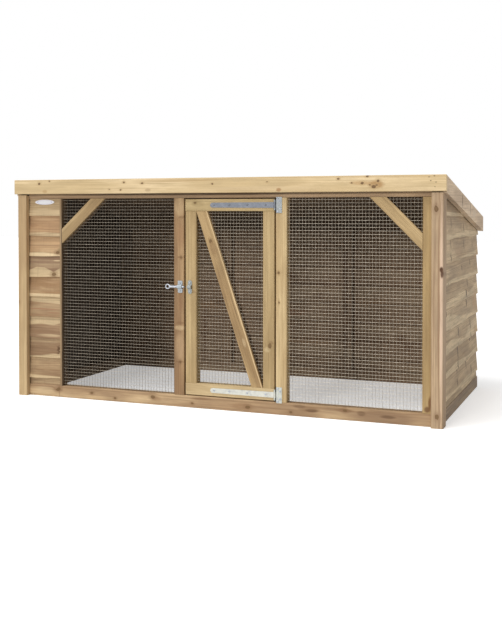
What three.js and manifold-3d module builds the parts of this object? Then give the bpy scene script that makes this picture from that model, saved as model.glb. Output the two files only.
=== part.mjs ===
// Free-standing timber rabbit run: a pent roof falling to the back, lap-boarded sides and back, and an open
// front of three wire-filled bays, the middle one a braced door on tee hinges with a sliding bolt.
// Millimetres, +Z up, +X to the right along the front, +Y from the front to the back. The origin is on the
// ground under the middle of the roof. The pieces are drawn from the outer face of the left front post.

import * as THREE from 'three';
import { mergeVertices } from 'three/addons/utils/BufferGeometryUtils.js';
import Module from 'manifold-3d';

const wasm = await Module();
wasm.setup();

// ------------------------------------------------------------------ driving sizes
const WIDTH = 1800;                // over the front corner posts
const DEPTH = 890;                 // front of the posts to the back of the cladding
const FRONT_HEIGHT = 910;          // ground to the top of the front fascia
const BACK_HEIGHT = 754;           // ground to the roof's back edge
const FIT = 0.3;                   // air left where two pieces meet
const EASE = 2;                    // planed-off corner along a timber

const POST_WIDTH = 44;             // front corner posts, along the front
const POST_DEPTH = 60;
const POST_ROUND = 8;              // rounded outer corner of a front post
const HOUSING = 8;                 // depth of the housings that take the board ends

const FRAME_SETBACK = 20;          // front frame behind the face of the corner posts
const FRAME_WIDTH = 44;
const FRAME_DEPTH = 40;
const BOTTOM_RAIL = 48;            // height of every bottom rail
const HEAD_DEPTH = 79;             // top of the fascia down to the underside of the front top rail
const SHELTER_WIDTH = 161;         // boarded end of the front, up to the wire
const STUD_LIP = 10;               // strip of the stud that shows beside the boards
const END_STILE = 35;
const LEFT_BRACE = [205, 186];     // reach of a corner brace along the rail and down the post
const RIGHT_BRACE = [196, 194];

const DOORWAY = 388;
const DOOR_FRAME = 47;             // width of the door's rails and stiles
const DOOR_GAP_LATCH = 7;
const DOOR_GAP_HINGE = 6;
const DOOR_GAP_TOP = 5;
const DOOR_GAP_BOTTOM = 4;

const GROOVE_SETBACK = 12;         // wood in front of the wire groove
const GROOVE_DEPTH = 8;
const WIRE_THICK = 2;              // two crossed wires
const WIRE_PITCH = 65;             // every fifth wire of a 13 mm weld mesh
const WIRE_BAR = 2.5;

const BOARD_HEIGHT = 102;
const BOARD_EXPOSED = 85.4;        // rise from one board to the next
const BOARD_BUTT = 6.5;            // thick lower edge
const BOARD_TIP = 3.5;             // thin upper edge
const BOARD_WAVE = 3;              // rise and fall of the sawn lower edge
const WAVE_STEP = 60;              // length of board between two points of its wavy edge
const NAILED = 2;                  // bite of the back wall's rail and battens into its boards
const FIRST_COURSE = 76.5;         // lower edge of the first full course
const SIDE_RAIL_INSET = 1.5;       // side bottom rails behind the lower board edges
const WALL_RAIL_THICK = 28;
const WALL_RAIL_HEIGHT = 44;
const BACK_POST = 44;
const BATTEN_WIDTH = 45;

const SIDE_OVERHANG = 10;
const FRONT_OVERHANG = 6;
const BACK_OVERHANG = 10;
const FASCIA_THICK = 20;
const FASCIA_HEIGHT = 60;
const BARGE_HEIGHT = 63;
const DECK_THICK = 12;
const FELT_THICK = 2.5;
const FELT_TURNDOWN = 25;

const STRAP_LENGTH = 270;          // hinge pin to the strap's tip
const STRAP_HEIGHT = 22;
const STRAP_TIP_HEIGHT = 19;
const PLATE_WIDTH = 24;
const PLATE_HEIGHT = 61;
const METAL = 2.5;                 // hinge sheet
const PIN_RADIUS = 2.2;
const PIN_PLAY = 0.5;
const PIN_HEAD = 1.5;              // pin standing out of the last knuckle
const KNUCKLE_RADIUS = 4.2;
const KNUCKLE_HEIGHT = 8;
const STRAP_HOLES = [0.14, 0.42, 0.7, 0.94];         // shares of the strap's length
const PLATE_HOLES = [[0.3, 0.82], [0.7, 0.5]];       // shares of the plate's width and half height
const SCREW_HOLE = 2.4;            // radius

const BOLT_RISE = 427;             // bolt axis above the door's lower edge
const BOLT_RADIUS = 4.5;
const BOLT_POINT = 3;              // length of the tapered tip
const BOLT_SLIDE_GAP = 0.6;        // around the bolt in its bracket and keep
const BOLT_TRAVEL = 32;
const BOLT_TIP_CLEAR = 3;          // drawn tip to the door's edge
const BRACKET_WIDTH = 20;
const BRACKET_HEIGHT = 48;
const BRACKET_CORNER = 3;
const BRACKET_INSET = 6;           // bracket to the post's doorway edge
const KEEP_WIDTH = 17;
const KEEP_HEIGHT = 54;
const KEEP_INSET = 11;             // keep to the door's edge
const STRIP = 2;                   // sheet of the bracket and keep
const BEND = 1.2;                  // inside radius of their bends
const RING_RADIUS = 8.5;           // pull ring, to the middle of its wire
const RING_WIRE = 2.5;

// ------------------------------------------------------------------ derived places
const FALL = (FRONT_HEIGHT - BACK_HEIGHT) / (DEPTH + BACK_OVERHANG + FRONT_OVERHANG);
const roofTop = (y) => FRONT_HEIGHT - FALL * (y + FRONT_OVERHANG);
const deckTop = (y) => roofTop(y) - FELT_THICK - FIT;
const deckUnderside = (y) => deckTop(y) - DECK_THICK;
const bargeUnderside = (y) => roofTop(y) - BARGE_HEIGHT;

const bayWidth = (WIDTH - 2 * POST_WIDTH - SHELTER_WIDTH - END_STILE - DOORWAY - 2 * FRAME_WIDTH) / 2;
const studRight = POST_WIDTH + SHELTER_WIDTH;
const latchPostLeft = studRight + bayWidth;
const doorwayLeft = latchPostLeft + FRAME_WIDTH;
const doorwayRight = doorwayLeft + DOORWAY;
const hingePostRight = doorwayRight + FRAME_WIDTH;
const endStileLeft = hingePostRight + bayWidth;
const frameFront = FRAME_SETBACK;
const frameBack = FRAME_SETBACK + FRAME_DEPTH;
const openingTop = FRONT_HEIGHT - HEAD_DEPTH;

// Each lap board leans on the one below: its lower edge stands off the frame by boardLean.
const boardTaper = BOARD_BUTT - BOARD_TIP;
const overlapShare = 1 - (BOARD_EXPOSED - BOARD_WAVE) / BOARD_HEIGHT;
const boardLean = (boardTaper * overlapShare + BOARD_TIP + FIT) * BOARD_HEIGHT / BOARD_EXPOSED;
const waveShare = BOARD_WAVE / BOARD_HEIGHT;
const cladding = boardLean * (1 + waveShare) + BOARD_BUTT + boardTaper * waveShare;
const courses = Math.ceil((openingTop - FIRST_COURSE) / BOARD_EXPOSED);
const courseBottom = (course) => FIRST_COURSE + (course - 1) * BOARD_EXPOSED;

const bargeInner = WIDTH + SIDE_OVERHANG - FASCIA_THICK;
const sideCladOuter = bargeInner - FIT;
const sideFrame = sideCladOuter - cladding;          // face the side boards are nailed to
const backFrame = DEPTH - cladding;
const backRailBottom = deckUnderside(backFrame) - FIT - WALL_RAIL_HEIGHT;
const mirrorX = (x) => WIDTH - x;

const doorLeft = doorwayLeft + DOOR_GAP_LATCH;
const doorRight = doorwayRight - DOOR_GAP_HINGE;
const doorBottom = BOTTOM_RAIL + DOOR_GAP_BOTTOM;
const doorTop = openingTop - DOOR_GAP_TOP;
const pinX = doorwayRight - DOOR_GAP_HINGE / 2;
const pinY = frameFront - FIT - KNUCKLE_RADIUS;

const grooveFront = frameFront + GROOVE_SETBACK;
const wireFront = grooveFront + FIT;
const wireBack = wireFront + WIRE_THICK;
const grooveWidth = WIRE_THICK + 2 * FIT;
const wireBite = GROOVE_DEPTH - 2 * FIT;             // how far the panel enters its grooves

const boltHeight = doorBottom + BOLT_RISE;
const bridge = BOLT_RADIUS + BOLT_SLIDE_GAP;     // inside half of the bracket and keep
const boltY = frameFront - FIT - bridge;
const bracketRight = doorwayLeft - BRACKET_INSET;
const bracketLeft = bracketRight - BRACKET_WIDTH;
const keepLeft = doorLeft + KEEP_INSET;
const boltTip = doorLeft - BOLT_TIP_CLEAR;
const ringCentre = bracketLeft - FIT - BOLT_TRAVEL - RING_RADIUS - RING_WIRE;

// ------------------------------------------------------------------ colours
const finish = (color, roughness = 0.85, metalness = 0) =>
  new THREE.MeshStandardMaterial({ color, roughness, metalness });
const planedTimber = finish(0xc2a67a);
const roofTimber = finish(0xd6bd90);
const doorTimber = finish(0xc9b083);
const lapTimber = finish(0xa5835b);
const sideTimber = finish(0x8c7a66);
const insideTimber = finish(0x7d6a52);
const deckTimber = finish(0x97805d);
const felt = finish(0x3f4442, 0.95);
const zinc = finish(0xb6bdc2, 0.4, 0.9);
const galvanisedWire = finish(0x8f918e, 0.5, 0.8);

// ------------------------------------------------------------------ solids
function toSolid(geometry) {
  const bare = geometry.clone();
  for (const name of Object.keys(bare.attributes)) {
    if (name !== 'position') bare.deleteAttribute(name);
  }
  const merged = mergeVertices(bare, 1e-4);
  return new wasm.Manifold(new wasm.Mesh({
    numProp: 3,
    vertProperties: new Float32Array(merged.attributes.position.array),
    triVerts: new Uint32Array(merged.index.array),
  }));
}

function toGeometry(solid) {
  const mesh = solid.getMesh();
  const geometry = new THREE.BufferGeometry();
  geometry.setAttribute('position', new THREE.BufferAttribute(new Float32Array(mesh.vertProperties), 3));
  geometry.setIndex(new THREE.BufferAttribute(new Uint32Array(mesh.triVerts), 1));
  const flat = geometry.toNonIndexed();
  flat.computeVertexNormals();
  return flat;
}

const cut = (geometry, ...tools) =>
  toGeometry(tools.reduce((body, tool) => body.subtract(toSolid(tool)), toSolid(geometry)));
const join = (geometry, ...others) =>
  toGeometry(others.reduce((body, other) => body.add(toSolid(other)), toSolid(geometry)));
const common = (geometry, other) => toGeometry(toSolid(geometry).intersect(toSolid(other)));

// A box between two corners.
function block([x0, y0, z0], [x1, y1, z1]) {
  return new THREE.BoxGeometry(x1 - x0, y1 - y0, z1 - z0)
    .translate((x0 + x1) / 2, (y0 + y1) / 2, (z0 + z1) / 2);
}

function outline(points) {
  return new THREE.Shape(points.map(([a, b]) => new THREE.Vector2(a, b)));
}

const extrude = (shape, depth, curveSegments = 6) =>
  new THREE.ExtrudeGeometry(shape, { depth, bevelEnabled: false, curveSegments });

// Profiles drawn in the plane across each axis and drawn out along it, from the low end.
const alongZ = (shape, z0, z1, curve) => extrude(shape, z1 - z0, curve).translate(0, 0, z0);
const alongY = (shape, y0, y1, curve) =>
  extrude(shape, y1 - y0, curve).rotateX(Math.PI / 2).translate(0, y1, 0);
const TO_X = new THREE.Matrix4().set(0, 0, 1, 0, 1, 0, 0, 0, 0, 1, 0, 0, 0, 0, 0, 1);
const alongX = (shape, x0, x1, curve) =>
  extrude(shape, x1 - x0, curve).applyMatrix4(TO_X).translate(x0, 0, 0);

// A rectangle with its corners planed off by EASE.
function eased(a0, b0, a1, b1) {
  return outline([
    [a0 + EASE, b0], [a1 - EASE, b0], [a1, b0 + EASE], [a1, b1 - EASE],
    [a1 - EASE, b1], [a0 + EASE, b1], [a0, b1 - EASE], [a0, b0 + EASE],
  ]);
}
const timberX = ([x0, y0, z0], [x1, y1, z1]) => alongX(eased(y0, z0, y1, z1), x0, x1);
const timberY = ([x0, y0, z0], [x1, y1, z1]) => alongY(eased(x0, z0, x1, z1), y0, y1);
const timberZ = ([x0, y0, z0], [x1, y1, z1]) => alongZ(eased(x0, y0, x1, y1), z0, z1);

// Puts a geometry's own centre at the mesh's position, so that each piece is placed in the scene.
function piece(parent, name, geometry, material) {
  geometry.computeBoundingBox();
  const centre = geometry.boundingBox.getCenter(new THREE.Vector3());
  const mesh = new THREE.Mesh(geometry.translate(-centre.x, -centre.y, -centre.z), material);
  mesh.name = name;
  mesh.position.copy(centre);
  parent.add(mesh);
  return mesh;
}

// ------------------------------------------------------------------ front frame
// The wire's groove, cut into the wood around an opening.
const groove = (left, bottom, right, top) => block(
  [left - GROOVE_DEPTH, grooveFront, bottom - GROOVE_DEPTH],
  [right + GROOVE_DEPTH, grooveFront + grooveWidth, top + GROOVE_DEPTH],
);
const bayGrooves = [studRight, hingePostRight].map((left) =>
  groove(left, BOTTOM_RAIL, left + bayWidth, openingTop));

// Profile across a front post, with the rounded corner outside.
function postSection(outside) {
  const shape = new THREE.Shape();
  const x = (value) => (outside < 0 ? value : POST_WIDTH - value);
  shape.moveTo(x(POST_WIDTH - EASE), 0);
  shape.lineTo(x(POST_ROUND), 0);
  shape.absarc(x(POST_ROUND), POST_ROUND, POST_ROUND,
    -Math.PI / 2, outside < 0 ? -Math.PI : 0, outside < 0);
  shape.lineTo(x(0), POST_DEPTH - EASE);
  shape.lineTo(x(EASE), POST_DEPTH);
  shape.lineTo(x(POST_WIDTH - EASE), POST_DEPTH);
  shape.lineTo(x(POST_WIDTH), POST_DEPTH - EASE);
  shape.lineTo(x(POST_WIDTH), EASE);
  return shape;
}

// Everything above the roof's own slope, for tops that are cut to it.
function aboveSlope(height) {
  const near = -FRONT_OVERHANG;
  const far = DEPTH + BACK_OVERHANG;
  return alongX(outline([
    [near, height(near)], [far, height(far)], [far, 2 * FRONT_HEIGHT], [near, 2 * FRONT_HEIGHT],
  ]), -SIDE_OVERHANG, WIDTH + SIDE_OVERHANG);
}

function cornerPosts(run) {
  const top = (y) => bargeUnderside(y) - FIT;
  const sideHousing = block(
    [sideFrame - FIT, POST_DEPTH - HOUSING, BOTTOM_RAIL],
    [sideCladOuter + FIT, POST_DEPTH + 1, FRONT_HEIGHT],
  );
  const boardHousing = block(
    [POST_WIDTH - HOUSING, frameFront - FIT, BOTTOM_RAIL],
    [POST_WIDTH + 1, frameFront + cladding + FIT, openingTop],
  );
  const right = alongZ(postSection(1), 0, FRONT_HEIGHT, 4).translate(WIDTH - POST_WIDTH, 0, 0);
  const left = alongZ(postSection(-1), 0, FRONT_HEIGHT, 4);
  const slope = aboveSlope(top);
  const sideHousingLeft = sideHousing.clone().translate(WIDTH - sideFrame - sideCladOuter, 0, 0);
  piece(run, 'front_post_right', cut(right, slope, sideHousing), planedTimber);
  piece(run, 'front_post_left', cut(left, slope, sideHousingLeft, boardHousing), planedTimber);

  const backTop = (y) => deckUnderside(y) - FIT;
  for (const [name, x0] of [['back_post_right', sideFrame - FIT - BACK_POST],
    ['back_post_left', mirrorX(sideFrame) + FIT]]) {
    const post = timberZ([x0, backFrame - FIT - BACK_POST, BOTTOM_RAIL + FIT],
      [x0 + BACK_POST, backFrame - FIT, FRONT_HEIGHT]);
    piece(run, name, cut(post, aboveSlope(backTop)), insideTimber);
  }
}

function frontRails(run) {
  const x0 = POST_WIDTH + FIT;
  const x1 = mirrorX(x0);
  const bottom = timberX([x0, frameFront, 0], [x1, frameBack, BOTTOM_RAIL]);
  piece(run, 'front_bottom_rail', cut(bottom, ...bayGrooves), planedTimber);
  const top = timberX([x0, frameFront, openingTop], [x1, frameBack, FRONT_HEIGHT]);
  const slope = aboveSlope((y) => deckUnderside(y) - FIT);
  piece(run, 'front_top_rail', cut(top, slope, ...bayGrooves), planedTimber);
}

function frontUprights(run) {
  const foot = BOTTOM_RAIL + FIT;
  const head = openingTop - FIT;
  const upright = (x0, x1) => timberZ([x0, frameFront, foot], [x1, frameBack, head]);
  const rebate = block(
    [studRight - FRAME_WIDTH - 1, frameFront - 1, foot - 1],
    [studRight - STUD_LIP, frameFront + cladding + FIT, head + 1],
  );
  const stud = cut(upright(studRight - FRAME_WIDTH, studRight), rebate, ...bayGrooves);
  piece(run, 'shelter_stud', stud, planedTimber);
  piece(run, 'latch_post', cut(upright(latchPostLeft, doorwayLeft), ...bayGrooves), planedTimber);
  piece(run, 'hinge_post', cut(upright(doorwayRight, hingePostRight), ...bayGrooves), planedTimber);
  const stile = upright(endStileLeft, mirrorX(POST_WIDTH + FIT));
  piece(run, 'end_stile', cut(stile, ...bayGrooves), planedTimber);
}

// A corner brace fitted between an upright and the top rail, its halves in front of the wire and behind it.
function cornerBrace(run, name, side, [along, down]) {
  const corner = side < 0 ? studRight + FIT : endStileLeft - FIT;
  const top = openingTop - FIT;
  const inner = 1 - FRAME_WIDTH * Math.hypot(along, down) / (along * down);
  const x = (reach) => corner - side * reach;
  const shape = outline([
    [x(0), top - down], [x(along), top], [x(along * inner), top], [x(0), top - down * inner],
  ]);
  piece(run, name, alongY(shape, frameFront, wireFront - FIT), planedTimber);
  piece(run, `${name}_backing`, alongY(shape, wireBack + FIT, frameBack), insideTimber);
}

// A panel of welded wire: a flat plate with a square hole cut in each square of the grid.
function wirePanel(left, bottom, right, top) {
  const [x0, x1, z0, z1] = [left - wireBite, right + wireBite, bottom - wireBite, top + wireBite];
  const columns = Math.round((x1 - x0) / WIRE_PITCH);
  const rows = Math.round((z1 - z0) / WIRE_PITCH);
  const stepX = (x1 - x0 - WIRE_BAR) / columns;
  const stepZ = (z1 - z0 - WIRE_BAR) / rows;
  const holes = [];
  for (let column = 0; column < columns; column += 1) {
    for (let row = 0; row < rows; row += 1) {
      const x = x0 + WIRE_BAR + column * stepX;
      const z = z0 + WIRE_BAR + row * stepZ;
      holes.push(block([x, wireFront - 1, z], [x + stepX - WIRE_BAR, wireBack + 1, z + stepZ - WIRE_BAR]));
    }
  }
  return cut(block([x0, wireFront, z0], [x1, wireBack, z1]), ...holes);
}

function bays(run) {
  for (const [name, left] of [['wire_panel_left', studRight], ['wire_panel_right', hingePostRight]]) {
    const panel = wirePanel(left, BOTTOM_RAIL, left + bayWidth, openingTop);
    piece(run, name, panel, galvanisedWire);
  }
  cornerBrace(run, 'corner_brace_left', -1, LEFT_BRACE);
  cornerBrace(run, 'corner_brace_right', 1, RIGHT_BRACE);
}

// ------------------------------------------------------------------ lap boards
// One tapered board, drawn from its nailing face (y = 0) outwards (-y), with a sawn wavy lower edge. Its
// lower edge stands off the frame by boardLean, and the waves differ from board to board.
function lapBoard(x0, x1, course, seed) {
  const length = x1 - x0;
  const steps = Math.max(4, Math.round(length / WAVE_STEP));
  const points = [];
  for (let i = 0; i <= steps; i += 1) {
    const x = length * i / steps;
    const wave = Math.sin(x / 95 + seed * 2.4) + Math.sin(x / 41 + seed * 5.1);
    points.push([x0 + x, BOARD_WAVE * wave / 2]);
  }
  points.push([x1, BOARD_HEIGHT], [x0, BOARD_HEIGHT]);
  const board = alongY(outline(points), -1, 0);
  const position = board.attributes.position;
  for (let i = 0; i < position.count; i += 1) {
    const rise = position.getZ(i) / BOARD_HEIGHT;
    const thickness = position.getY(i) < -0.5 ? BOARD_BUTT - boardTaper * rise : 0;
    position.setY(i, -boardLean * (1 - rise) - thickness);
  }
  return board.translate(0, 0, courseBottom(course));
}

const wallCourses = (highest) => {
  let count = 0;
  while (count <= courses && courseBottom(count) + BOARD_WAVE < highest) count += 1;
  return [...Array(count).keys()];
};

// Everything between a wall's ends, its foot and its top.
function wallLimits(x0, x1, foot, topHeight) {
  return alongY(outline([
    [x0 - 1, foot], [x1 + 1, foot], [x1 + 1, topHeight(x1 + 1)], [x0 - 1, topHeight(x0 - 1)],
  ]), -2 * cladding, cladding);
}

// The loose boards of one wall, trimmed to its foot and top. The lowest is the starter strip.
function wallBoards(x0, x1, foot, topHeight, firstSeed) {
  const limits = wallLimits(x0, x1, foot, topHeight);
  return wallCourses(Math.max(topHeight(x0), topHeight(x1))).map((course) =>
    common(lapBoard(x0, x1, course, firstSeed + course), limits));
}

// A wall whose boards are nailed up as one panel: the section of all its courses, drawn out along it.
function wallPanel(x0, x1, foot, topHeight) {
  const outerFace = (rise) => -boardLean * (1 - rise) - BOARD_BUTT + boardTaper * rise;
  const innerFace = (rise) => -boardLean * (1 - rise);
  const shown = BOARD_EXPOSED / BOARD_HEIGHT;
  const outside = [];
  const inside = [];
  for (const course of wallCourses(Math.max(topHeight(x0), topHeight(x1)))) {
    const z = courseBottom(course);
    outside.push([outerFace(0), z], [outerFace(shown), z + BOARD_EXPOSED]);
    inside.unshift([0, z + BOARD_HEIGHT], [innerFace(1 - shown), z + BOARD_HEIGHT - BOARD_EXPOSED]);
  }
  const section = alongX(outline([...outside, ...inside]), x0, x1);
  return common(section, wallLimits(x0, x1, foot, topHeight));
}

// Walls are drawn facing the front and turned a quarter at a time to face a side or the back.
function wallGroup(run, x, y, quarterTurns) {
  const group = new THREE.Group();
  group.position.set(x, y, 0);
  group.rotation.z = quarterTurns * Math.PI / 2;
  run.add(group);
  return group;
}

function shelterBoards(run) {
  const group = wallGroup(run, 0, frameFront + cladding, 0);
  const x0 = POST_WIDTH - HOUSING + FIT;
  const x1 = studRight - STUD_LIP - FIT;
  wallBoards(x0, x1, BOTTOM_RAIL + FIT, () => openingTop - FIT, 1).forEach((board, course) =>
    piece(group, `shelter_board_${course}`, board, lapTimber));
}

function sideWalls(run) {
  const front = POST_DEPTH - HOUSING + FIT;
  const foot = BOTTOM_RAIL + FIT;
  const top = (y) => deckUnderside(y) - FIT;
  const right = wallGroup(run, sideFrame, 0, 1);
  wallBoards(front, DEPTH, foot, top, 12).forEach((board, course) =>
    piece(right, `right_board_${course}`, board, sideTimber));

  const left = wallGroup(run, mirrorX(sideFrame), DEPTH, -1);
  const boards = wallPanel(0, DEPTH - front, foot, (x) => top(DEPTH - x));
  piece(left, 'left_wall_boards', boards, sideTimber);

  const railOuter = sideCladOuter - SIDE_RAIL_INSET;
  const rail = (x0) =>
    timberY([x0, POST_DEPTH + FIT, 0], [x0 + WALL_RAIL_THICK, DEPTH, BOTTOM_RAIL]);
  piece(run, 'right_bottom_rail', rail(railOuter - WALL_RAIL_THICK), sideTimber);
  piece(run, 'left_bottom_rail', rail(mirrorX(railOuter)), sideTimber);
}

// The back is one nailed-up panel: boards, the rail below them and two upright battens inside.
function backWall(run) {
  const group = wallGroup(run, WIDTH, backFrame, 2);
  const x0 = mirrorX(sideFrame) + FIT;
  const x1 = mirrorX(x0);
  const top = () => deckUnderside(DEPTH) - FIT;
  const boards = wallPanel(x0, x1, BOTTOM_RAIL + FIT, top);
  const railOuter = SIDE_RAIL_INSET - cladding;
  const railX0 = mirrorX(sideCladOuter - SIDE_RAIL_INSET - WALL_RAIL_THICK) + FIT;
  const rail = block([railX0, railOuter, 0], [mirrorX(railX0), railOuter + WALL_RAIL_THICK, BOTTOM_RAIL]);
  const strip = 1 - (BOTTOM_RAIL - courseBottom(0)) / BOARD_HEIGHT;
  const packing = block([railX0, -boardLean * strip - BOARD_TIP, BOTTOM_RAIL - NAILED],
    [mirrorX(railX0), -boardLean * strip - 1, BOTTOM_RAIL + NAILED]);
  const battens = [1, 2].map((third) => {
    const middle = WIDTH * third / 3;
    return block(
      [middle - BATTEN_WIDTH / 2, -NAILED, BOTTOM_RAIL - NAILED],
      [middle + BATTEN_WIDTH / 2, WALL_RAIL_THICK, backRailBottom - FIT],
    );
  });
  piece(group, 'back_wall', join(boards, rail, packing, ...battens), insideTimber);

  const topX0 = x0 + BACK_POST + FIT;
  const topRail = timberX([topX0, backFrame - WALL_RAIL_THICK, backRailBottom],
    [mirrorX(topX0), backFrame - FIT, BACK_HEIGHT]);
  piece(run, 'back_top_rail', cut(topRail, aboveSlope((y) => deckUnderside(y) - FIT)), insideTimber);
}

// ------------------------------------------------------------------ roof
function roof(run) {
  const [x0, x1] = [-SIDE_OVERHANG, WIDTH + SIDE_OVERHANG];
  const front = -FRONT_OVERHANG;
  const behindFascia = front + FASCIA_THICK;
  const back = DEPTH + BACK_OVERHANG;
  const fasciaFoot = FRONT_HEIGHT - FASCIA_HEIGHT;
  const fascia = outline([
    [front + EASE, fasciaFoot], [behindFascia, fasciaFoot], [behindFascia, roofTop(behindFascia)],
    [front + EASE, roofTop(front + EASE)], [front, roofTop(front) - EASE], [front, fasciaFoot + EASE],
  ]);
  piece(run, 'front_fascia', alongX(fascia, x0, x1), roofTimber);

  const bargeFront = behindFascia + FIT;
  const barge = outline([
    [bargeFront, bargeUnderside(bargeFront)], [back, bargeUnderside(back)],
    [back, roofTop(back)], [bargeFront, roofTop(bargeFront)],
  ]);
  piece(run, 'barge_board_right', alongX(barge, bargeInner, x1), roofTimber);
  piece(run, 'barge_board_left', alongX(barge, x0, mirrorX(bargeInner)), roofTimber);

  const coverEnds = [mirrorX(bargeInner) + FIT, bargeInner - FIT];
  const deckBack = back - FELT_THICK - FIT;
  const deck = outline([
    [bargeFront, deckUnderside(bargeFront)], [deckBack, deckUnderside(deckBack)],
    [deckBack, deckTop(deckBack)], [bargeFront, deckTop(bargeFront)],
  ]);
  piece(run, 'roof_deck', alongX(deck, ...coverEnds), deckTimber);

  // Roofing felt, turned down over the back edge of the deck as a drip.
  const feltUnderside = (y) => roofTop(y) - FELT_THICK;
  const turned = back - FELT_THICK;
  const dripFoot = roofTop(back) - FELT_TURNDOWN;
  const sheet = outline([
    [bargeFront, feltUnderside(bargeFront)], [turned, feltUnderside(turned)], [turned, dripFoot],
    [back, dripFoot], [back, roofTop(back)], [bargeFront, roofTop(bargeFront)],
  ]);
  piece(run, 'roof_felt', alongX(sheet, ...coverEnds), felt);
}

// ------------------------------------------------------------------ door
// Lean from upright of a straight brace whose level cut ends fill opposite corners of an opening.
function braceLean(width, height) {
  let lean = 0;
  for (let pass = 0; pass < 20; pass += 1) {
    lean = Math.atan((width - FRAME_WIDTH / Math.cos(lean)) / height);
  }
  return lean;
}

function door(run) {
  const group = new THREE.Group();
  run.add(group);
  const [left, right] = [doorLeft + DOOR_FRAME, doorRight - DOOR_FRAME];
  const [bottom, top] = [doorBottom + DOOR_FRAME, doorTop - DOOR_FRAME];
  const slot = groove(left, bottom, right, top);
  const rail = (z0) => timberX([doorLeft, frameFront, z0], [doorRight, frameBack, z0 + DOOR_FRAME]);
  const stile = (x0) =>
    timberZ([x0, frameFront, bottom + FIT], [x0 + DOOR_FRAME, frameBack, top - FIT]);
  piece(group, 'door_bottom_rail', cut(rail(doorBottom), slot), doorTimber);
  piece(group, 'door_top_rail', cut(rail(top), slot), doorTimber);
  piece(group, 'door_latch_stile', cut(stile(doorLeft), slot), doorTimber);
  piece(group, 'door_hinge_stile', cut(stile(right), slot), doorTimber);
  piece(group, 'door_wire_panel', wirePanel(left, bottom, right, top), galvanisedWire);

  // The diagonal brace falls from the latch side at the top to the hinge side at the bottom.
  const [x0, x1, z0, z1] = [left + FIT, right - FIT, bottom + FIT, top - FIT];
  const across = FRAME_WIDTH / Math.cos(braceLean(x1 - x0, z1 - z0));
  const brace = outline([[x1 - across, z0], [x1, z0], [x0 + across, z1], [x0, z1]]);
  piece(group, 'door_brace', alongY(brace, frameFront, wireFront - FIT), doorTimber);
  piece(group, 'door_brace_backing', alongY(brace, wireBack + FIT, frameBack), insideTimber);
  return group;
}

// ------------------------------------------------------------------ tee hinges
const upright = (radius, z0, z1, sides = 12) =>
  new THREE.CylinderGeometry(radius, radius, z1 - z0, sides).rotateX(Math.PI / 2)
    .translate(0, 0, (z0 + z1) / 2);
const screwHole = (x, y, z) =>
  new THREE.CylinderGeometry(SCREW_HOLE, SCREW_HOLE, 4 * METAL, 8).translate(x, y, z);

// Both leaves are drawn around the pin's axis, with the wood's face behind them.
function hingeStrap() {
  const half = STRAP_HEIGHT / 2;
  const tip = STRAP_TIP_HEIGHT / 2;
  const shape = new THREE.Shape();
  shape.moveTo(0, -half);
  shape.lineTo(0, half);
  shape.lineTo(tip - STRAP_LENGTH, tip);
  shape.absarc(tip - STRAP_LENGTH, 0, tip, Math.PI / 2, 3 * Math.PI / 2, false);
  const leaf = alongY(shape, KNUCKLE_RADIUS - METAL, KNUCKLE_RADIUS, 8);
  const bore = upright(PIN_RADIUS + PIN_PLAY, -STRAP_HEIGHT, STRAP_HEIGHT);
  const holes = STRAP_HOLES.map((share) => screwHole(-share * STRAP_LENGTH, KNUCKLE_RADIUS, 0));
  return cut(join(leaf, upright(KNUCKLE_RADIUS, -half, half)), bore, ...holes);
}

function hingePlate() {
  const inside = STRAP_HEIGHT / 2 + FIT;
  const outside = inside + KNUCKLE_HEIGHT;
  const left = KNUCKLE_RADIUS + 2 * FIT;
  const sheet = (x0, x1, z0, z1) => block([x0, KNUCKLE_RADIUS - METAL, z0], [x1, KNUCKLE_RADIUS, z1]);
  const leaf = sheet(left, left + PLATE_WIDTH, -PLATE_HEIGHT / 2, PLATE_HEIGHT / 2);
  const knuckles = [[inside, outside], [-outside, -inside]].flatMap(([z0, z1]) =>
    [upright(KNUCKLE_RADIUS, z0, z1), sheet(0, left + METAL, z0, z1)]);
  const pin = upright(PIN_RADIUS, -outside - PIN_HEAD, outside + PIN_HEAD);
  const holes = PLATE_HOLES.flatMap(([across, up]) => [-1, 1].map((side) =>
    screwHole(left + across * PLATE_WIDTH, KNUCKLE_RADIUS, side * up * PLATE_HEIGHT / 2)));
  return cut(join(leaf, ...knuckles, pin), ...holes);
}

function hinges(run, doorGroup) {
  const middle = DOOR_FRAME / 2;
  for (const [name, z] of [['upper', doorTop - middle], ['lower', doorBottom + middle]]) {
    piece(doorGroup, `${name}_hinge_strap`, hingeStrap().translate(pinX, pinY, z), zinc);
    piece(run, `${name}_hinge_plate`, hingePlate().translate(pinX, pinY, z), zinc);
  }
}

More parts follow.
